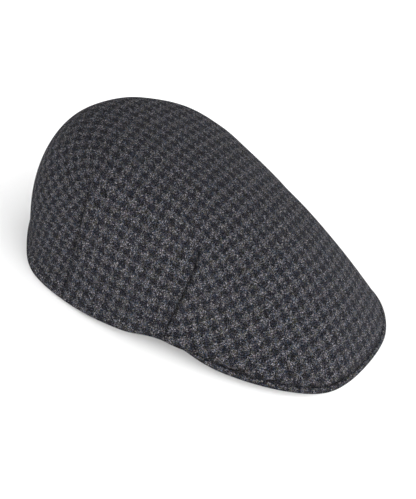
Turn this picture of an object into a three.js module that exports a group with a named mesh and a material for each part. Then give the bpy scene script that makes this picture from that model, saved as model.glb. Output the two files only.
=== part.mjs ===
// Duckbill flat cap in houndstooth wool, resting on a table as it does off the head.
// Millimetres, +Z up. The peak points to -Y, and the wearer's right side is -X.
import * as THREE from "three";

// Driving sizes
const capLength = 262;        // back of the rim to the tip of the peak
const capWidth = 180;         // across the widest place of the rim
const capHeight = 105;        // table to the top of the crown
const crownTopBack = 48;      // back of the rim to below the top of the crown
const clothThickness = 2.4;   // wool on its backing
const peakThickness = 3.2;    // stiffener with cloth on both faces
const seamGap = 0.3;          // between the cloth's lower edge and the peak
const hemProud = 1.1;         // the turned hem stands out this far at the back of the rim
const hemHeight = 12;
const foreheadDepth = 46;     // the peak's root bows forward this far between its two ends
const foreheadRise = 15;      // and this far upward
const rootInset = 7;          // from the outside of the rim to the peak's root at its two ends
const ledgeWidth = 6;         // level border of the peak that the cloth is sewn to
const peakHollow = 1.3;       // over 1 the peak climbs faster near its edge than near its root
const rootSpread = 0.6;       // under 1 the cuts through the peak fan out towards its sides

// The lower edge from the middle of the back to the middle of the peak's front, on one side.
// along and out are shares of the length and the half width, and rise is a share of the height.
// lean is the wall's angle from level at that edge, in degrees: over 90 the wall bulges outwards.
// crown is how far the level top runs out before it bends down, as a share of the reach there,
// and wall is how far the wall keeps its lean, as a share of its height.
const edgeTable = [
  { along: 0.000, out: 0.000, rise: 0.000, lean: 99, crown: 0.66, wall: 0.64 },
  { along: 0.057, out: 0.435, rise: 0.000, lean: 98, crown: 0.71, wall: 0.70 },
  { along: 0.148, out: 0.755, rise: 0.000, lean: 86, crown: 0.78, wall: 0.79 },
  { along: 0.302, out: 0.938, rise: 0.018, lean: 81, crown: 0.84, wall: 0.86 },
  { along: 0.455, out: 1.000, rise: 0.060, lean: 73, crown: 0.76, wall: 0.80 },
  { along: 0.568, out: 0.988, rise: 0.118, lean: 66, crown: 0.67, wall: 0.70 },
  { along: 0.735, out: 0.936, rise: 0.057, lean: 55, crown: 0.61, wall: 0.62 },
  { along: 0.893, out: 0.793, rise: 0.046, lean: 48, crown: 0.54, wall: 0.61 },
  { along: 0.978, out: 0.478, rise: 0.000, lean: 54, crown: 0.55, wall: 0.49 },
  { along: 1.000, out: 0.000, rise: 0.000, lean: 62, crown: 0.53, wall: 0.49 },
];
const peakRootRow = 5;        // where the rim meets the end of the peak
const seatRows = 0.68;        // from there the cloth's edge climbs onto the peak over this much of a row
const hemEnds = [0.1, 0.3];   // the hem stands out in full before the first share of the length

// How finely the solids are divided
const stepsPerRow = 4;
const shellLevels = 16;
const peakLevels = 5;

const ring = [
  ...edgeTable,
  ...edgeTable.slice(1, -1).reverse().map((row) => ({ ...row, out: -row.out })),
];
const columns = ring.length * stepsPerRow;
const firstPeakColumn = peakRootRow * stepsPerRow + 1;
const footCurve = smoothRing((row) => [
  row.out * capWidth / 2, -row.along * capLength, row.rise * capHeight,
]);
const wallCurve = smoothRing((row) => [row.lean, row.crown, row.wall]);
const crownTop = new THREE.Vector3(0, -crownTopBack, capHeight);

function smoothRing(values) {
  const points = ring.map((row) => new THREE.Vector3(...values(row)));
  return new THREE.CatmullRomCurve3(points, true, "catmullrom", 0.5);
}

// Foot of the wall in one column, with the directions inward and up along the wall
function edgeAt(column) {
  const turn = column / columns;
  const step = 1e-4;
  const foot = footCurve.getPoint(turn);
  foot.z = Math.max(foot.z, 0);
  const next = footCurve.getPoint((turn + step) % 1);
  const last = footCurve.getPoint((turn + 1 - step) % 1);
  const run = next.sub(last).setZ(0).normalize();
  const inward = new THREE.Vector3(run.y, -run.x, 0);
  const [lean, crown, wall] = wallCurve.getPoint(turn).toArray();
  const slope = THREE.MathUtils.degToRad(lean);
  const upWall = inward.clone().multiplyScalar(Math.cos(slope)).setZ(Math.sin(slope));
  const seat = seatHeight(column);
  return { foot, inward, upWall, slope, crown, wall, seat };
}

// Height of the cloth's edge above the foot: nothing along the rim, the peak's edge in front
function seatHeight(column) {
  const rowsFromBack = Math.min(column, columns - column) / stepsPerRow;
  const onPeak = THREE.MathUtils.smoothstep(rowsFromBack - peakRootRow, 0, seatRows);
  return onPeak * (peakThickness + seamGap);
}

function alongWall(edge, height) {
  return edge.foot.clone().addScaledVector(edge.upWall, height / Math.sin(edge.slope));
}

// Outer face of the cloth, from level 0 at the crown's top to level 1 at its lower edge
function clothPoint(column, level) {
  const edge = edgeAt(column);
  const end = alongWall(edge, edge.seat);
  const reach = end.clone().sub(crownTop).setZ(0);
  const shoulder = crownTop.clone().addScaledVector(reach, edge.crown);
  const wallTop = end.clone().addScaledVector(edge.upWall, edge.wall * (crownTop.z - end.z));
  return new THREE.CubicBezierCurve3(crownTop, shoulder, wallTop, end).getPoint(level);
}

function outerPoint(column, level) {
  const point = clothPoint(column, level);
  const { foot, inward } = edgeAt(column);
  const [fullHem, noHem] = hemEnds.map((share) => share * capLength);
  const atBack = 1 - THREE.MathUtils.smoothstep(-foot.y, fullHem, noHem);
  const inHem = 1 - THREE.MathUtils.smoothstep(point.z - foot.z, hemHeight / 2, hemHeight);
  return point.addScaledVector(inward, -hemProud * atBack * inHem);
}

// Inner face: one cloth thickness in, with its lower edge level with the outer one
function innerPoint(column, level) {
  if (level === 1) {
    const { inward, slope } = edgeAt(column);
    return clothPoint(column, 1).addScaledVector(inward, clothThickness / Math.sin(slope));
  }
  const step = 1e-3;
  const across = clothPoint(column + step, level).sub(clothPoint(column - step, level));
  const down = clothPoint(column, level + step).sub(clothPoint(column, level - step));
  const outward = across.cross(down).normalize();
  return clothPoint(column, level).addScaledVector(outward, -clothThickness);
}

// Triangles between rows of points, where each row closes on itself
function bandFaces(rows) {
  const faces = [];
  const width = rows[0].length;
  for (let row = 0; row < rows.length - 1; row += 1) {
    for (let place = 0; place < width; place += 1) {
      const here = row * width + place;
      const beside = row * width + (place + 1) % width;
      faces.push([here, beside, here + width], [beside, beside + width, here + width]);
    }
  }
  return faces;
}

function solidFrom(points, faces) {
  const geometry = new THREE.BufferGeometry();
  const positions = points.flatMap((point) => point.toArray());
  geometry.setAttribute("position", new THREE.Float32BufferAttribute(positions, 3));
  geometry.setIndex(faces.flat());
  geometry.computeVertexNormals();
  return geometry;
}

// The cloth shell: outer rings from the top down, inner rings back up, and a point at each top
function crownGeometry() {
  const rings = [];
  for (let k = 1; k <= shellLevels; k += 1) {
    rings.push(ringOf(outerPoint, k / shellLevels));
  }
  for (let k = shellLevels; k >= 1; k -= 1) {
    rings.push(ringOf(innerPoint, k / shellLevels));
  }
  const points = rings.flat();
  const faces = bandFaces(rings);
  const outerTop = points.push(crownTop) - 1;
  const innerTop = points.push(crownTop.clone().setZ(capHeight - clothThickness)) - 1;
  const lastRing = (rings.length - 1) * columns;
  for (let column = 0; column < columns; column += 1) {
    const next = (column + 1) % columns;
    faces.push([outerTop, next, column], [innerTop, lastRing + column, lastRing + next]);
  }
  return solidFrom(points, faces);
}

function ringOf(pointAt, level) {
  return Array.from({ length: columns }, (_, column) => pointAt(column, level));
}

// One cut through the peak: in along its upper face and back out along its underside
function peakSection(column) {
  const edge = edgeAt(column);
  const thickness = edge.seat - seamGap;
  const edgeTop = alongWall(edge, thickness);
  const rootEnd = edgeAt(firstPeakColumn).foot;
  const forward = (rootEnd.y - edge.foot.y) / (rootEnd.y + capLength);
  const along = THREE.MathUtils.clamp(forward, 0, 1) ** rootSpread;
  const across = Math.sqrt(1 - along ** 2) * Math.sign(edge.foot.x);
  const root = new THREE.Vector3(
    (rootEnd.x - rootInset) * across,
    rootEnd.y - foreheadDepth * along,
    rootEnd.z + foreheadRise * along ** 2,
  );
  const room = Math.hypot(root.x - edge.foot.x, root.y - edge.foot.y);
  const ledge = Math.min(ledgeWidth, room / 2);
  const under = [edge.foot];
  const over = [edgeTop];
  const ledgeUnder = edge.foot.clone().addScaledVector(edge.inward, ledge);
  for (let k = 0; k <= peakLevels; k += 1) {
    const share = k / peakLevels;
    const point = ledgeUnder.clone().lerp(root, share);
    point.z = THREE.MathUtils.lerp(ledgeUnder.z, root.z, 1 - (1 - share) ** peakHollow);
    under.push(point);
    over.push(point.clone().setZ(point.z + thickness));
  }
  return [...over, ...under.reverse()];
}

function peakGeometry() {
  const sections = [];
  for (let column = firstPeakColumn; column <= columns - firstPeakColumn; column += 1) {
    sections.push(peakSection(column));
  }
  const width = sections[0].length;
  const faces = bandFaces(sections);
  const lastSection = (sections.length - 1) * width;
  for (let k = 0; k < width / 2 - 1; k += 1) {
    const [a, b, c, d] = [k, k + 1, width - 2 - k, width - 1 - k];
    faces.push([a, d, b], [b, d, c]);
    faces.push([lastSection + a, lastSection + b, lastSection + d]);
    faces.push([lastSection + b, lastSection + c, lastSection + d]);
  }
  return solidFrom(sections.flat(), faces);
}

function woolMaterial(name, color) {
  return new THREE.MeshStandardMaterial({ name, color, roughness: 0.95, metalness: 0 });
}

const crown = new THREE.Mesh(crownGeometry(), woolMaterial("houndstooth wool", 0x434347));
crown.name = "crown";
const peak = new THREE.Mesh(peakGeometry(), woolMaterial("peak wool", 0x3c3c40));
peak.name = "peak";

// The origin is on the table below the middle of the cap
const cap = new THREE.Group();
cap.add(crown, peak);
const reach = new THREE.Box3().setFromObject(cap);
cap.position.set(0, -(reach.min.y + reach.max.y) / 2, 0);
const flatCap = new THREE.Group();
flatCap.add(cap);

export default flatCap;
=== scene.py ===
import math

import bmesh
import bpy
import numpy as np
from mathutils import Matrix, Vector, noise


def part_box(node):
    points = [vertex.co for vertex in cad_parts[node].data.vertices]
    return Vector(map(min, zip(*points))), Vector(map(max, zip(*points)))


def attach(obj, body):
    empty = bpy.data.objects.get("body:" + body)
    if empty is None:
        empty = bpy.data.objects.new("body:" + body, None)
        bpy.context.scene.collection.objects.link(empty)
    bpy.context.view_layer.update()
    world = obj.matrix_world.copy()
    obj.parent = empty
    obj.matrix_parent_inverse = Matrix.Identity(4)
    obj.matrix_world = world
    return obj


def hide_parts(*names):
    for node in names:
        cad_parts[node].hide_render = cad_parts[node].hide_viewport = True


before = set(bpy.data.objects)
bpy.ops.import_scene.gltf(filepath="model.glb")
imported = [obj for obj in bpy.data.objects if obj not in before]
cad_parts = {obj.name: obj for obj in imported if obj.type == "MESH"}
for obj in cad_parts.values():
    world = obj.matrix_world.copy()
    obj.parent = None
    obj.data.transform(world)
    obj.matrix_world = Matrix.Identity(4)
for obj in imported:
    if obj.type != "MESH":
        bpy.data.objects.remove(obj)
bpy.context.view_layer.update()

_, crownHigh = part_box("crown")
peakLow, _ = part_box("peak")
closeEnough = 1e-4              # places in rows that differ by less are the same

# The sizes that the solids were drawn from, with the heights and the tip taken from the frame
capSizes = {
    "length": 0.262,
    "width": 0.180,
    "height": crownHigh.z,
    "tipY": peakLow.y,
    "crownTopBack": 0.048,      # back of the rim to below the top of the crown
    "cloth": 0.0024,
    "peak": 0.0032,
    "seamGap": 0.0003,
    "hemEnds": (0.1, 0.3),      # the hem is full to the first share of the length, gone at the other
    "peakRows": (5.0, 0.68),    # the peak thickens from this row over this much of a row
    "seatRows": (5.2, 0.55),    # and the cloth's edge climbs onto it here
}
backY = capSizes["tipY"] + capSizes["length"]
crownTop = np.array([0.0, backY - capSizes["crownTopBack"], capSizes["height"]])

# Lower edge, back centre to tip: shares of length, half width and height, then the wall's lean
# in degrees and how far the top and the wall keep their direction
edgeRows = [
    # along, out, rise, lean, crown, wall
    (0.000, 0.000, 0.000, 99, 0.66, 0.64),
    (0.057, 0.435, 0.000, 98, 0.71, 0.70),
    (0.148, 0.755, 0.000, 86, 0.78, 0.79),
    (0.302, 0.938, 0.018, 81, 0.84, 0.86),
    (0.455, 1.000, 0.060, 73, 0.76, 0.80),
    (0.568, 0.988, 0.118, 66, 0.67, 0.70),      # the end of the peak's root
    (0.735, 0.936, 0.057, 55, 0.61, 0.62),
    (0.893, 0.793, 0.046, 48, 0.54, 0.61),
    (0.978, 0.478, 0.000, 54, 0.55, 0.49),
    (1.000, 0.000, 0.000, 62, 0.53, 0.49),
]
otherSide = [(along, -out, *rest) for along, out, *rest in edgeRows[-2:0:-1]]
ringRows = np.array(edgeRows + otherSide, float)
rowCount = len(ringRows)
tipRow = rowCount / 2


def smoothStep(value, low, high):
    share = np.clip((value - low) / (high - low), 0, 1)
    return share * share * (3 - 2 * share)


# Closed Catmull-Rom curve through the table's rows
def alongRing(turn):
    whole = np.floor(turn).astype(int)
    t = (turn - whole)[..., None]
    a, b, c, d = (ringRows[(whole + k) % rowCount] for k in (-1, 0, 1, 2))
    return b + t / 2 * ((c - a) + t * ((2 * a - 5 * b + 4 * c - d) + t * (3 * b - a - 3 * c + d)))


def footAt(turn):
    along, out, rise = np.moveaxis(alongRing(turn)[..., :3], -1, 0)
    return np.stack([
        out * capSizes["width"] / 2,
        backY - along * capSizes["length"],
        np.maximum(rise * capSizes["height"], 0),
    ], -1)


# Foot of the wall, with the directions inward and up along it
def edgeAt(turn):
    turn = np.asarray(turn, float)
    small = 0.002
    foot = footAt(turn)
    run = footAt(turn + small) - footAt(turn - small)
    run[..., 2] = 0
    run /= np.linalg.norm(run, axis=-1, keepdims=True)
    inward = np.stack([run[..., 1], -run[..., 0], np.zeros_like(turn)], -1)
    lean, crown, wall = np.moveaxis(alongRing(turn)[..., 3:], -1, 0)
    slope = np.radians(lean)
    upWall = inward * np.cos(slope)[..., None]
    upWall[..., 2] = np.sin(slope)
    onPeak = climb(turn, capSizes["seatRows"])
    return {
        "foot": foot, "inward": inward, "upWall": upWall, "slope": slope,
        "crown": crown, "wall": wall, "onPeak": onPeak,
        "seat": onPeak * (capSizes["peak"] + capSizes["seamGap"]),
    }


def fromBack(turn):
    return np.minimum(turn % rowCount, rowCount - turn % rowCount)


def climb(turn, rows):
    start, length = rows
    return smoothStep(fromBack(turn), start, start + length)


def upAlongWall(edge, height):
    return edge["foot"] + edge["upWall"] * (height / np.sin(edge["slope"]))[..., None]


# The cloth's plain outer face: level 0 is the top of the crown and level 1 the lower edge
def clothFace(turn, level):
    edge = edgeAt(turn)
    end = upAlongWall(edge, edge["seat"])
    reach = end - crownTop
    reach[..., 2] = 0
    shoulder = crownTop + reach * edge["crown"][..., None]
    wallHeight = edge["wall"] * (capSizes["height"] - end[..., 2])
    wallTop = end + edge["upWall"] * wallHeight[..., None]
    t = np.asarray(level, float)[..., None]
    return ((1 - t) ** 3 * crownTop + 3 * (1 - t) ** 2 * t * shoulder
            + 3 * (1 - t) * t ** 2 * wallTop + t ** 3 * end)


# At the lower edge itself, the direction is the one just above it
def faceNormals(turn, level):
    small = 0.001
    level = np.minimum(level, 1 - 2 * small)
    across = clothFace(turn + small, level) - clothFace(turn - small, level)
    down = clothFace(turn, level + small) - clothFace(turn, level - small)
    normals = np.cross(across, down)
    return normals / np.linalg.norm(normals, axis=-1, keepdims=True)


# The crown: one sewn shell with two darts a side
crownPiece = {
    "columnsPerRow": 8,
    # The sheet's rings, closer together near the lower edge
    "levels": [0.05 + 0.83 * k / 32 for k in range(33)]
    + [0.897, 0.911, 0.922, 0.932, 0.941, 0.950, 0.960, 0.970, 0.979, 0.987, 0.994, 1.0],
    # A dart's row at the lower edge, the level of its apex, how many rows the apex is shifted by,
    # how late that shift comes, how many rows beside it lean along, and how dark the painted shade
    # along its seam is
    "sideDart": {
        "row": 13, "apex": 0.523, "shift": -0.70, "bend": 1.5, "reach": 1.6, "paintedShade": 1.0,
    },
    "backDart": {
        "row": 15.25, "apex": 0.43, "shift": 0.0, "bend": 1.0, "reach": 1.0, "paintedShade": 0.7,
    },
    "seamColumns": (-0.085, -0.05, -0.022, 0.022, 0.05, 0.085),     # extra ones beside a dart
    "seamWidth": 0.0011,
    "seamDepth": 0.0014,
    "seamStart": 0.12,          # levels from the apex to where the seam is at its deepest
    "seamEnd": 0.92,            # the seams fade from this level to the lower edge
    "seamFade": 0.8,            # by this share
    "seamPuff": 0.0004,
    "puffWidth": 4,             # in widths of the seam
    "tuck": 0.0008,             # the cloth turns under at its seam with the peak
    "tuckHeight": 0.0018,
    "edgeShade": 0.0013,        # painted shade reaches this far up the cloth from the seam with the peak
    "edgeShadeStrength": 0.65,          # and is this dark, where the side dart's painted shade has 1
    "hemProud": 0.0012,         # the turned hem stands out this far at the back
    "hemHeight": 0.0085,
    "hemStep": 0.0020,          # the hem's upper edge fades out over this height
    "hemCrease": 0.0005,        # the cloth falls in above the hem
    "creaseHeight": 0.019,
    "creaseWidth": 0.010,
    "billow": 0.0005,           # slow waves in the cloth
    "billowSize": 0.045,
    "billowStart": 0.015,       # they are full from this height above the lower edge
}


def allDarts():
    darts = []
    for key in ("sideDart", "backDart"):
        dart = crownPiece[key]
        darts.append(dart)
        darts.append({**dart, "row": rowCount - dart["row"], "shift": -dart["shift"]})
    return darts


def columnTurns():
    perRow = crownPiece["columnsPerRow"]
    turns = {k / perRow for k in range(rowCount * perRow)}
    for dart in allDarts():
        turns |= {dart["row"] + offset for offset in crownPiece["seamColumns"]}
    return sorted(turns)


# Columns lean over so that one of them runs up each dart
def warpedTurn(turn, level):
    moved = turn.copy()
    for dart in allDarts():
        up = np.clip((1 - level) / (1 - dart["apex"]), 0, 1) ** dart["bend"]
        near = 1 - smoothStep(np.abs(turn - dart["row"]), 0, dart["reach"])
        moved += dart["shift"] * up * near
    return moved


# How deep a point lies in a dart's seam, from 0 to 1, how near it lies to one, and how much painted
# shade it gets
def dartShare(turn, level):
    place = warpedTurn(turn, level)
    small = 0.01
    across = clothFace(place + small, level) - clothFace(place - small, level)
    perRow = np.linalg.norm(across, axis=-1) / (2 * small)
    inSeam, nearSeam, paintedShade = (np.zeros_like(turn) for _ in range(3))
    for dart in allDarts():
        beside = (turn - dart["row"]) * perRow / crownPiece["seamWidth"]
        fade = crownPiece["seamFade"] * smoothStep(level, crownPiece["seamEnd"], 1)
        apex = dart["apex"]
        closing = smoothStep(level, apex, apex + crownPiece["seamStart"]) * (1 - fade)
        seam = closing * np.exp(-beside ** 2)
        inSeam += seam
        nearSeam += closing * np.exp(-(beside / crownPiece["puffWidth"]) ** 2)
        paintedShade += dart["paintedShade"] * seam
    return inSeam, nearSeam, paintedShade


# How much painted shade a point gets for its nearness to the seam with the peak
def paintedEdgeShade(turn, level):
    atEdge = edgeAt(warpedTurn(turn, level))
    away = np.linalg.norm(clothFace(turn, level) - clothFace(turn, np.ones_like(level)), axis=-1)
    near = np.exp(-(away / crownPiece["edgeShade"]) ** 2)
    return crownPiece["edgeShadeStrength"] * atEdge["onPeak"] * near


def billowRelief(points):
    size = crownPiece["billowSize"]
    flat = points.reshape(-1, 3)
    waves = np.array([noise.noise(Vector(point) / size) for point in flat])
    return waves.reshape(points.shape[:-1]) * crownPiece["billow"]


def crownOuter(turn, level):
    place = warpedTurn(turn, level)
    edge = edgeAt(place)
    points = clothFace(place, level)
    normals = faceNormals(place, level)
    above = points[..., 2] - edge["foot"][..., 2]
    alongBack = backY - edge["foot"][..., 1]
    hemStart, hemEnd = (share * capSizes["length"] for share in capSizes["hemEnds"])
    atBack = 1 - smoothStep(alongBack, hemStart, hemEnd)
    hemHeight, hemStep = crownPiece["hemHeight"], crownPiece["hemStep"]
    inHem = 1 - smoothStep(above, hemHeight - hemStep, hemHeight)
    tuckHeight = crownPiece["tuckHeight"]
    tuck = np.clip(1 - (above - edge["seat"]) / tuckHeight, 0, 1) ** 2 * edge["onPeak"]
    inward = crownPiece["tuck"] * tuck - crownPiece["hemProud"] * atBack * inHem
    inSeam, nearSeam, _ = dartShare(turn, level)
    relief = crownPiece["seamPuff"] * nearSeam - crownPiece["seamDepth"] * inSeam
    fromCrease = (above - crownPiece["creaseHeight"]) / crownPiece["creaseWidth"]
    crease = np.exp(-fromCrease ** 2) * (1 - inHem)
    relief -= crownPiece["hemCrease"] * crease * atBack
    settled = smoothStep(above, 0, crownPiece["billowStart"])
    relief += billowRelief(points) * settled
    return points + edge["inward"] * inward[..., None] + normals * relief[..., None]


def crownInner(turn, level):
    place = warpedTurn(turn, level)
    edge = edgeAt(place)
    throughWall = faceNormals(place, level) * -capSizes["cloth"]
    alongEdge = edge["inward"] * (capSizes["cloth"] / np.sin(edge["slope"]))[..., None]
    return clothFace(place, level) + np.where((level >= 1)[..., None], alongEdge, throughWall)


def newPiece(name, bm, material):
    mesh = bpy.data.meshes.new(name)
    bm.to_mesh(mesh)
    bm.free()
    for polygon in mesh.polygons:
        polygon.use_smooth = True
    mesh.materials.append(material)
    piece = bpy.data.objects.new(name, mesh)
    bpy.context.scene.collection.objects.link(piece)
    return piece


def isRingEdge(item, ringVerts):
    return isinstance(item, bmesh.types.BMEdge) and all(vert in ringVerts for vert in item.verts)


# Rings from the lower edge up to the top of the crown, closed there
def crownSheet():
    turns = columnTurns()
    levels = sorted(crownPiece["levels"], reverse=True)
    bm = bmesh.new()
    turnLayer = bm.verts.layers.float.new("turn")
    levelLayer = bm.verts.layers.float.new("level")
    # painted shade along the seams, read by the wool's material
    bm.verts.layers.float.new("paintedSeamShade")
    ring = bmesh.ops.create_circle(bm, segments=len(turns), radius=capSizes["width"] / 2)["verts"]
    for vert, turn in zip(ring, turns):
        vert[turnLayer] = turn
        vert[levelLayer] = levels[0]
    edges = bm.edges[:]
    for level in levels[1:]:
        made = bmesh.ops.extrude_edge_only(bm, edges=edges)["geom"]
        newVerts = {item for item in made if isinstance(item, bmesh.types.BMVert)}
        for vert in newVerts:
            vert[levelLayer] = level
        edges = [item for item in made if isRingEdge(item, newVerts)]
    lid = bmesh.ops.contextual_create(bm, geom=edges)["faces"]
    middle = bmesh.ops.poke(bm, faces=lid)["verts"][0]
    middle[levelLayer] = 0
    placeVerts(bm, crownOuter, crownTop)
    markDarts(bm, turnLayer, levelLayer)
    bmesh.ops.recalc_face_normals(bm, faces=bm.faces)
    fixOrder(bm)
    return bm


# Extruding leaves edges and faces in an order that changes from run to run, and so would the layout
def fixOrder(bm):
    bm.verts.index_update()
    count = len(bm.verts)

    def place(item):
        corners = [vert.index for vert in item.verts]
        return (min(corners) * count + max(corners)) * count + sum(corners) / len(corners)

    for items in (bm.edges, bm.faces):
        items.sort(key=place)
        items.index_update()


# Moves the vertices to their places on the cap, and notes how much painted shade the seams put on
# the cloth there
def placeVerts(bm, pointAt, topPoint, verts=None):
    layers = bm.verts.layers.float
    turnLayer, levelLayer, paintedSeamShadeLayer = (layers[key] for key in ("turn", "level", "paintedSeamShade"))
    verts = list(verts or bm.verts)
    turns = np.array([vert[turnLayer] for vert in verts])
    levels = np.array([vert[levelLayer] for vert in verts])
    nearTop = 0.01              # the top is one point, so nothing is worked out nearer to it
    kept = np.maximum(levels, nearTop)
    points = pointAt(turns, kept)
    paintedSeamShades = np.maximum(dartShare(turns, kept)[2], paintedEdgeShade(turns, levels))
    for vert, point, level, paintedSeamShade in zip(verts, points, levels, paintedSeamShades):
        vert.co = point if level > 0 else topPoint
        vert[paintedSeamShadeLayer] = paintedSeamShade


def markDarts(bm, turnLayer, levelLayer):
    for dart in allDarts():
        for edge in bm.edges:
            onDart = all(abs(vert[turnLayer] - dart["row"]) < closeEnough for vert in edge.verts)
            low = all(vert[levelLayer] > dart["apex"] for vert in edge.verts)
            edge.seam = edge.seam or (onDart and low)


# Flattens the cloth as its pattern pieces lie, in metres, with the cap's length along v
def layFlat(piece):
    bpy.context.view_layer.objects.active = piece
    bpy.ops.object.select_all(action="DESELECT")
    piece.select_set(True)
    bpy.ops.object.mode_set(mode="EDIT")
    bpy.ops.mesh.select_all(action="SELECT")
    bpy.ops.uv.unwrap(method="MINIMUM_STRETCH", margin=0)
    bpy.ops.object.mode_set(mode="OBJECT")
    mesh = piece.data
    flat = np.zeros(len(mesh.loops) * 2)
    mesh.uv_layers.active.data.foreach_get("uv", flat)
    flat = flat.reshape(-1, 2)
    corners = np.array([loop.vertex_index for loop in mesh.loops])
    turn = np.array([item.value for item in mesh.attributes["turn"].data])[corners]
    level = np.array([item.value for item in mesh.attributes["level"].data])[corners]
    onCentre = np.abs(turn - tipRow) < closeEnough
    nearTop, nearTip = 0.3, 0.7         # levels between which the cap's length is measured
    back = flat[onCentre & (level < nearTop)].mean(0)
    front = flat[onCentre & (level > nearTip)].mean(0)
    ahead = (front - back) / np.linalg.norm(front - back)
    aside = np.array([-ahead[1], ahead[0]])
    clothArea = sum(polygon.area for polygon in mesh.polygons)
    flatArea = 0.0
    for polygon in mesh.polygons:
        ring = flat[list(polygon.loop_indices)]
        nextOne = np.roll(ring, -1, 0)
        flatArea += np.sum(ring[:, 0] * nextOne[:, 1] - ring[:, 1] * nextOne[:, 0]) / 2
    scale = math.sqrt(clothArea / abs(flatArea))
    laid = np.stack([(flat - back) @ aside, (flat - back) @ ahead], -1) * scale
    mesh.uv_layers.active.data.foreach_set("uv", laid.ravel().astype(np.float32))
    print("cloth laid flat:", np.round(np.ptp(laid, axis=0) * 1000), "mm, area", round(clothArea, 4))


# Adds the wall's inner face with the same cloth layout, and joins both at the lower edge
def lineWall(piece):
    bm = bmesh.new()
    bm.from_mesh(piece.data)
    rim = [edge for edge in bm.edges if edge.is_boundary]
    twin = bmesh.ops.duplicate(bm, geom=bm.verts[:] + bm.edges[:] + bm.faces[:])["geom"]
    innerVerts, innerEdges, innerFaces = (
        [item for item in twin if isinstance(item, kind)]
        for kind in (bmesh.types.BMVert, bmesh.types.BMEdge, bmesh.types.BMFace)
    )
    bmesh.ops.reverse_faces(bm, faces=innerFaces)
    placeVerts(bm, crownInner, crownTop - [0, 0, capSizes["cloth"]], innerVerts)
    innerRim = [edge for edge in innerEdges if edge.is_boundary]
    uvLayer = bm.loops.layers.uv.active
    strip = bmesh.ops.bridge_loops(bm, edges=rim + innerRim)["faces"]
    for face in strip:
        face.smooth = True
        for loop in face.loops:
            beside = [other for other in loop.vert.link_loops if other.face not in strip]
            loop[uvLayer].uv = beside[0][uvLayer].uv
    bm.to_mesh(piece.data)
    bm.free()


def buildCrown(material):
    piece = newPiece("crown_cloth", crownSheet(), material)
    layFlat(piece)
    lineWall(piece)
    finer = piece.modifiers.new("finer", "SUBSURF")
    finer.levels = finer.render_levels = 1
    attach(piece, "root")
    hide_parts("crown")
    print("crown built:", len(piece.data.polygons), "faces before smoothing")


# The peak: a stiff crescent covered with the same cloth, its edge rounded
peakPiece = {
    "columnsPerRow": 10,
    "firstTurn": 5.25,          # its first cut, in rows from the back
    "foreheadDepth": 0.046,     # its root bows forward this far
    "foreheadRise": 0.015,      # and this far upward
    "rootInset": 0.007,         # from the rim to the root at its two ends
    "ledge": 0.006,             # level border that the cloth is sewn to
    "hollow": 1.3,              # over 1 it climbs faster near its edge than near its root
    "spread": 0.6,              # under 1 the cuts fan out towards its sides
    "edgeSteps": 5,
    "faceSteps": 12,
    "edgeBulge": 0.0004,
    "tuckedIn": 0.0026,         # its ends lie behind the rim
    "outAgain": (5.25, 0.5),    # and come out from there, in rows
    "bandStart": 0.0026,        # where the checks start on the band round its edge
}


# One cut through the peak, as a closed ring: up its edge, in over the top and back underneath
def peakCut(turn):
    edge = edgeAt(np.array([turn]))
    foot, inward = edge["foot"][0], edge["inward"][0]
    room = (capSizes["peak"] + capSizes["seamGap"]) * climb(turn, capSizes["peakRows"])
    thickness = room - capSizes["seamGap"]
    tucked = peakPiece["tuckedIn"] * (1 - climb(turn, peakPiece["outAgain"]))
    edgeTop = upAlongWall(edge, np.array([thickness]))[0] + inward * tucked
    rootEnd = footAt(np.array([peakPiece["firstTurn"]]))[0]
    forward = (rootEnd[1] - foot[1]) / (rootEnd[1] - capSizes["tipY"])
    along = np.clip(forward, 0, 1) ** peakPiece["spread"]
    across = math.sqrt(1 - along ** 2) * np.sign(foot[0])
    root = np.array([
        (rootEnd[0] - peakPiece["rootInset"]) * across,
        rootEnd[1] - peakPiece["foreheadDepth"] * along,
        rootEnd[2] + peakPiece["foreheadRise"] * along ** 2,
    ])
    reach = math.hypot(root[0] - foot[0], root[1] - foot[1])
    ledgeUnder = foot + inward * min(peakPiece["ledge"], reach / 2)
    foot = foot + inward * tucked
    under = []
    for k in range(peakPiece["faceSteps"] + 1):
        share = k / peakPiece["faceSteps"]
        point = ledgeUnder + (root - ledgeUnder) * share
        climbed = 1 - (1 - share) ** peakPiece["hollow"]
        point[2] = ledgeUnder[2] + (root[2] - ledgeUnder[2]) * climbed
        under.append(point)
    over = [point + [0, 0, thickness] for point in under]
    rising = []
    for k in range(peakPiece["edgeSteps"]):
        share = k / (peakPiece["edgeSteps"] - 1)
        bulge = peakPiece["edgeBulge"] * math.sin(math.pi * share)
        rising.append(foot + (edgeTop - foot) * share - inward * bulge)
    return rising + over + under[::-1]


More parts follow.
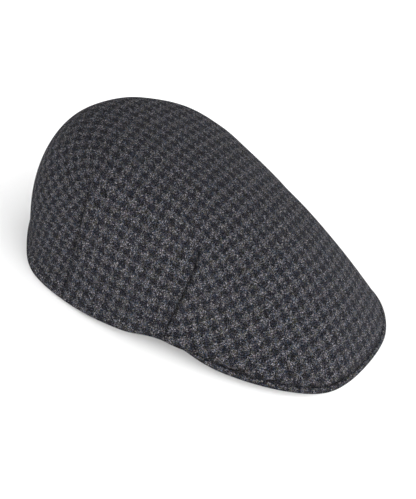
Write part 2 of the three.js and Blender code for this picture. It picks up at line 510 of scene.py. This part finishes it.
def buildPeak(material):
    span = rowCount - 2 * peakPiece["firstTurn"]
    steps = int(span * peakPiece["columnsPerRow"])
    turns = [peakPiece["firstTurn"] + span * k / steps for k in range(steps + 1)]
    bm = bmesh.new()
    uvLayer = bm.loops.layers.uv.new("UVMap")
    placeLayer = bm.verts.layers.int.new("place")
    paintedSeamShadeLayer = bm.verts.layers.float.new("paintedSeamShade")
    runLayer = bm.verts.layers.float.new("run")
    feet = footAt(np.array(turns))
    runs = np.concatenate([[0], np.cumsum(np.linalg.norm(np.diff(feet, axis=0), axis=1))])
    cut = peakCut(turns[0])
    ring = bmesh.ops.create_circle(bm, segments=len(cut), radius=capSizes["peak"])["verts"]
    for place, (vert, point) in enumerate(zip(ring, cut)):
        vert[placeLayer] = place
        vert.co = point
    edges = bm.edges[:]
    bmesh.ops.contextual_create(bm, geom=edges)
    for turn, run in zip(turns[1:], runs[1:]):
        made = bmesh.ops.extrude_edge_only(bm, edges=edges)["geom"]
        newVerts = {item for item in made if isinstance(item, bmesh.types.BMVert)}
        cut = peakCut(turn)
        for vert in newVerts:
            vert.co = cut[vert[placeLayer]]
            vert[runLayer] = run
            # Painted shade along the top of the peak's edge, where the crown's cloth meets it
            atSeam = vert[placeLayer] == peakPiece["edgeSteps"] - 1
            vert[paintedSeamShadeLayer] = crownPiece["edgeShadeStrength"] * atSeam
        edges = [item for item in made if isRingEdge(item, newVerts)]
    bmesh.ops.contextual_create(bm, geom=edges)
    bmesh.ops.recalc_face_normals(bm, faces=bm.faces)
    for face in bm.faces:
        onEdge = all(vert[placeLayer] < peakPiece["edgeSteps"] for vert in face.verts)
        for loop in face.loops:
            point = loop.vert.co
            share = loop.vert[placeLayer] / (peakPiece["edgeSteps"] - 1)
            upEdge = peakPiece["bandStart"] + share * capSizes["peak"]
            loop[uvLayer].uv = (loop.vert[runLayer], upEdge) if onEdge else (point.x, -point.y)
    piece = newPiece("peak_cloth", bm, material)
    finer = piece.modifiers.new("finer", "SUBSURF")
    finer.levels = finer.render_levels = 1
    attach(piece, "root")
    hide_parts("peak")
    print("peak built:", len(piece.data.polygons), "faces before smoothing")


# A socket's value in a shader, with Python's operators
class Amount:
    def __init__(self, finish, socket):
        self.finish = finish
        self.socket = socket

    def maths(self, operation, *others):
        node = self.finish.add("ShaderNodeMath", {"operation": operation}, [self, *others])
        return Amount(self.finish, node.outputs[0])

    def __add__(self, other):
        return self.maths("ADD", other)

    __radd__ = __add__

    def __mul__(self, other):
        return self.maths("MULTIPLY", other)

    __rmul__ = __mul__

    def __sub__(self, other):
        return self.maths("SUBTRACT", other)

    def __rsub__(self, other):
        return (self * -1) + other

    def __mod__(self, other):
        return self.maths("FLOORED_MODULO", other)

    def __lt__(self, other):
        return self.maths("LESS_THAN", other)

    def floor(self):
        return self.maths("FLOOR")

    def sine(self):
        return self.maths("SINE")

    def between(self, low, high):
        node = self.finish.add(
            "ShaderNodeMapRange", {"clamp": True, "interpolation_type": "SMOOTHSTEP"},
            [self, low, high, 0.0, 1.0],
        )
        return Amount(self.finish, node.outputs[0])

    def pick(self, whenNone, whenFull):
        return self * whenFull + (1 - self) * whenNone


# The nodes of a material, or of the sky
class Finish:
    def __init__(self, block):
        block.use_nodes = True
        self.block = block
        self.tree = block.node_tree
        self.surface = self.tree.nodes.get("Principled BSDF")

    def add(self, kind, settings, inputs):
        node = self.tree.nodes.new(kind)
        for key, value in settings.items():
            setattr(node, key, value)
        named = inputs.items() if isinstance(inputs, dict) else enumerate(inputs)
        for key, value in named:
            self.set(node.inputs[key], value)
        return node

    def set(self, socket, value):
        if isinstance(value, Amount):
            value = value.socket
        if isinstance(value, bpy.types.NodeSocket):
            self.tree.links.new(value, socket)
        else:
            socket.default_value = value

    def mix(self, share, first, second):
        node = self.add("ShaderNodeMix", {"data_type": "RGBA"}, {0: share, 6: first, 7: second})
        return node.outputs[2]

    def scaled(self, colour, amount):
        inputs = {0: colour, "Scale": amount}
        return self.add("ShaderNodeVectorMath", {"operation": "SCALE"}, inputs).outputs[0]

    def shifted(self, where, offset):
        return self.add("ShaderNodeVectorMath", {"operation": "ADD"}, [where, offset]).outputs[0]

    def grain(self, where, size, detail=2.0, roughness=0.5, stretch=(1, 1, 1)):
        scaled = self.add("ShaderNodeMapping", {}, {"Vector": where, "Scale": stretch}).outputs[0]
        node = self.add(
            "ShaderNodeTexNoise", {},
            {"Vector": scaled, "Scale": 1 / size, "Detail": detail, "Roughness": roughness},
        )
        return Amount(self, node.outputs["Fac"])


# The wool: a houndstooth of dark and light yarn, brushed until its checks blur
houndstooth = {
    "repeat": 0.0082,
    "threads": 8,               # in one repeat, half dark and half light
    "dark": (0.0023, 0.0020, 0.0028, 1),
    "light": (0.0147, 0.0138, 0.0150, 1),
    "felt": (0.0060, 0.0056, 0.0065, 1),        # brushed fibres over both
    "feltShare": 0.44,
    "feltSize": 0.0013,
    "feltRange": (0.40, 0.64),  # of the noise, from bare yarn to felted
    "fibreSize": 0.0008,
    "fibreRange": (0.46, 0.72),
    "fibreStretch": 0.5,        # their noise is drawn out along the yarn
    "fibreDim": 0.22,           # how much the fibres darken and lighten the yarn
    "fibreBright": 7.0,
    "hairSize": 0.0006,         # the finest of them
    "hairRange": (0.35, 0.65),
    "hairDim": 0.07,
    "hairBright": 2.95,
    "strandSize": 0.0013,       # loose curly fibres
    "strandWidth": 0.020,       # as a share of the noise that they follow
    "strandPlace": (0.11, 0.29, 0.0),   # where the first colour's noise is read
    "strandStep": (0.53, 0.37, 0.1),    # and how far on for each further one
    "strands": [                # colour, then how well they cover dark and light yarn
        ((0.205, 0.205, 0.078, 1), 0.12, 0.40),
        ((0.055, 0.150, 0.300, 1), 0.15, 0.40),
        ((0.185, 0.105, 0.135, 1), 0.10, 0.36),
    ],
    "paintedShadeStrength": 0.82,          # how much the painted shade in a seam darkens the wool
    "twill": 4,                 # each yarn goes over half of these and under the others
    "otherPlace": (0.31, 0.17, 0),      # where a second noise is read, so that it differs
    "wander": 3.0,              # how far the yarns stray at most, in threads
    "wanderSize": 0.0010,
    "specular": 0.02,
    "sheen": 0.014,
    "sheenRoughness": 0.25,
    "sheenTint": (0.85, 0.88, 1.0, 1),
    "roughness": 0.82,
    "fibreRoughness": 0.15,     # more on the fibres
    "bumpDepth": 0.0004,
    "bumpStrength": 0.9,
    "fibreBump": 0.9,           # how much each adds to the relief
    "threadBump": 0.18,
    "feltBump": 0.3,
}


def woolFinish(name):
    finish = Finish(bpy.data.materials.new(name))
    cloth = finish.add("ShaderNodeUVMap", {"uv_map": "UVMap"}, {}).outputs[0]
    elsewhere = finish.shifted(cloth, houndstooth["otherPlace"])
    split = finish.add("ShaderNodeSeparateXYZ", {}, [cloth])
    threads = houndstooth["threads"]
    perMetre = threads / houndstooth["repeat"]
    wanderX = finish.grain(cloth, houndstooth["wanderSize"], roughness=0.6)
    wanderY = finish.grain(elsewhere, houndstooth["wanderSize"], roughness=0.6)
    wander = houndstooth["wander"] * 2          # the noise goes half a unit either way
    across = Amount(finish, split.outputs[0]) * perMetre + (wanderX - 0.5) * wander
    along = Amount(finish, split.outputs[1]) * perMetre + (wanderY - 0.5) * wander
    warpDark = (across % threads) < threads / 2
    weftDark = (along % threads) < threads / 2
    twill = houndstooth["twill"]
    warpOver = ((across.floor() + along.floor()) % twill) < twill / 2
    dark = warpOver.pick(weftDark, warpDark)
    yarn = finish.mix(dark, houndstooth["light"], houndstooth["dark"])

    # Brushed fibres blur the checks, and lie roughly along the threads
    feltNoise = finish.grain(cloth, houndstooth["feltSize"], detail=3, roughness=0.7)
    feltPatch = feltNoise.between(*houndstooth["feltRange"])
    felted = finish.mix(feltPatch * houndstooth["feltShare"], yarn, houndstooth["felt"])
    size, stretch = houndstooth["fibreSize"], houndstooth["fibreStretch"]
    fibreLong = finish.grain(cloth, size, detail=1, roughness=0.6, stretch=(1, stretch, 1))
    fibreWide = finish.grain(elsewhere, size, detail=1, roughness=0.6, stretch=(stretch, 1, 1))
    fibres = warpOver.pick(fibreWide, fibreLong)
    bright = fibres.between(*houndstooth["fibreRange"])
    lift = bright.pick(houndstooth["fibreDim"], houndstooth["fibreBright"])
    hairs = finish.grain(elsewhere, houndstooth["hairSize"], detail=0)
    hairs = hairs.between(*houndstooth["hairRange"])
    lift = lift * hairs.pick(houndstooth["hairDim"], houndstooth["hairBright"])
    colour = finish.scaled(felted, lift)
    strandStarts = list(zip(houndstooth["strandPlace"], houndstooth["strandStep"]))
    for place, (tint, onDark, onLight) in enumerate(houndstooth["strands"]):
        beside = finish.shifted(cloth, [start + step * place for start, step in strandStarts])
        curl = finish.grain(beside, houndstooth["strandSize"], roughness=0.6)
        away = (curl - 0.5).maths("ABSOLUTE")
        strand = 1 - away.between(0, houndstooth["strandWidth"])
        colour = finish.mix(strand * dark.pick(onLight, onDark), colour, tint)
    # Painted shade along the darts and the seam with the peak darkens the wool
    paintedSeamShadeNode = finish.add("ShaderNodeAttribute", {"attribute_name": "paintedSeamShade"}, {})
    paintedSeamShade = Amount(finish, paintedSeamShadeNode.outputs["Fac"])
    colour = finish.scaled(colour, 1 - paintedSeamShade * houndstooth["paintedShadeStrength"])

    acrossRound = (across * (2 * math.pi)).sine()
    alongRound = (along * (2 * math.pi)).sine()
    threadRound = warpOver.pick(alongRound, acrossRound)
    height = fibres * houndstooth["fibreBump"] + threadRound * houndstooth["threadBump"]
    height = height + feltPatch * houndstooth["feltBump"]
    bump = finish.add("ShaderNodeBump", {}, {
        "Strength": houndstooth["bumpStrength"],
        "Distance": houndstooth["bumpDepth"],
        "Height": height,
    })
    surface = finish.surface
    finish.set(surface.inputs["Base Color"], colour)
    roughness = fibres * houndstooth["fibreRoughness"] + houndstooth["roughness"]
    finish.set(surface.inputs["Roughness"], roughness)
    finish.set(surface.inputs["Normal"], bump.outputs[0])
    surface.inputs["Specular IOR Level"].default_value = houndstooth["specular"]
    surface.inputs["Sheen Weight"].default_value = houndstooth["sheen"]
    surface.inputs["Sheen Roughness"].default_value = houndstooth["sheenRoughness"]
    surface.inputs["Sheen Tint"].default_value = houndstooth["sheenTint"]
    return finish.block


# The table under the cap
floorPiece = {
    "side": 8.0,
    "colour": (0.90, 0.90, 0.90, 1),
    "paler": 1.02,              # its paler patches
    "patchSize": 0.4,
    "roughness": 0.8,
}


def buildFloor():
    finish = Finish(bpy.data.materials.new("pale_table"))
    where = finish.add("ShaderNodeTexCoord", {}, {}).outputs["Object"]
    patches = finish.grain(where, floorPiece["patchSize"])
    paler = [min(1, part * floorPiece["paler"]) for part in floorPiece["colour"]]
    colour = finish.mix(patches, floorPiece["colour"], paler)
    finish.set(finish.surface.inputs["Base Color"], colour)
    finish.surface.inputs["Roughness"].default_value = floorPiece["roughness"]
    bm = bmesh.new()
    bmesh.ops.create_grid(bm, x_segments=2, y_segments=2, size=floorPiece["side"] / 2)
    floor = newPiece("table_top", bm, finish.block)
    print("table laid")


# The photograph's camera, with its angles in degrees from the cap's right side
photoCamera = {
    "towardsFront": 21.98,
    "elevation": 33.36,
    "roll": 12.12,
    "distance": 1.1835,
    "aim": (-0.01182, -0.00643, 0.03891),
    "lens": 126.85,
    "sensorHeight": 36,
}


def placeCamera():
    turn, lift, roll = (
        math.radians(photoCamera[key]) for key in ("towardsFront", "elevation", "roll")
    )
    back = Vector((
        -math.cos(lift) * math.cos(turn), -math.cos(lift) * math.sin(turn), math.sin(lift),
    ))
    level = Vector((math.sin(turn), -math.cos(turn), 0))
    upright = back.cross(level)
    right = level * math.cos(roll) + upright * math.sin(roll)
    up = upright * math.cos(roll) - level * math.sin(roll)
    data = bpy.data.cameras.new("photo_camera")
    data.sensor_fit = "VERTICAL"
    data.sensor_height = photoCamera["sensorHeight"]
    data.lens = photoCamera["lens"]
    camera = bpy.data.objects.new("photo_camera", data)
    place = Matrix((right, up, back)).transposed().to_4x4()
    place.translation = Vector(photoCamera["aim"]) + back * photoCamera["distance"]
    camera.matrix_world = place
    bpy.context.scene.collection.objects.link(camera)
    bpy.context.scene.camera = camera
    print("camera placed")


# Light comes in low from all round, and most from the front and the cap's right side
studioLight = {
    "horizon": 5.9,
    "fall": 1.35,               # over 1 the sky darkens faster towards the zenith
    "nearSide": (-0.3, -0.5, 0),        # the sky is brighter on this side and darker on the other
    "keyWatts": 12,
    "keySize": 1.2,
    "keyPlace": (-0.7, -1.5, 0.8),
    "keyAim": (0, 0, 0.05),
}


def placeLights():
    world = bpy.data.worlds.new("studio")
    bpy.context.scene.world = world
    sky = Finish(world)
    where = sky.add("ShaderNodeTexCoord", {}, {}).outputs["Generated"]
    height = Amount(sky, sky.add("ShaderNodeSeparateXYZ", {}, [where]).outputs[2])
    fade = (1 - height.maths("MAXIMUM", 0)).maths("POWER", studioLight["fall"])
    lean = sky.add(
        "ShaderNodeVectorMath", {"operation": "DOT_PRODUCT"}, [where, studioLight["nearSide"]],
    )
    fade = fade * (1 + Amount(sky, lean.outputs["Value"]))
    background = sky.tree.nodes["Background"]
    background.inputs["Color"].default_value = (1, 1, 1, 1)
    sky.set(background.inputs["Strength"], fade * studioLight["horizon"])
    data = bpy.data.lights.new("key", "AREA")
    data.energy = studioLight["keyWatts"]
    data.size = studioLight["keySize"]
    key = bpy.data.objects.new("key", data)
    key.location = studioLight["keyPlace"]
    towards = Vector(studioLight["keyAim"]) - key.location
    key.rotation_euler = towards.to_track_quat("-Z", "Y").to_euler()
    bpy.context.scene.collection.objects.link(key)
    bpy.context.scene.view_settings.view_transform = "Standard"
    print("lights placed")


placeCamera()
crownWool = woolFinish("crown_houndstooth")
peakWool = woolFinish("peak_houndstooth")
buildCrown(crownWool)
buildPeak(peakWool)
buildFloor()
placeLights()
print("scene built")
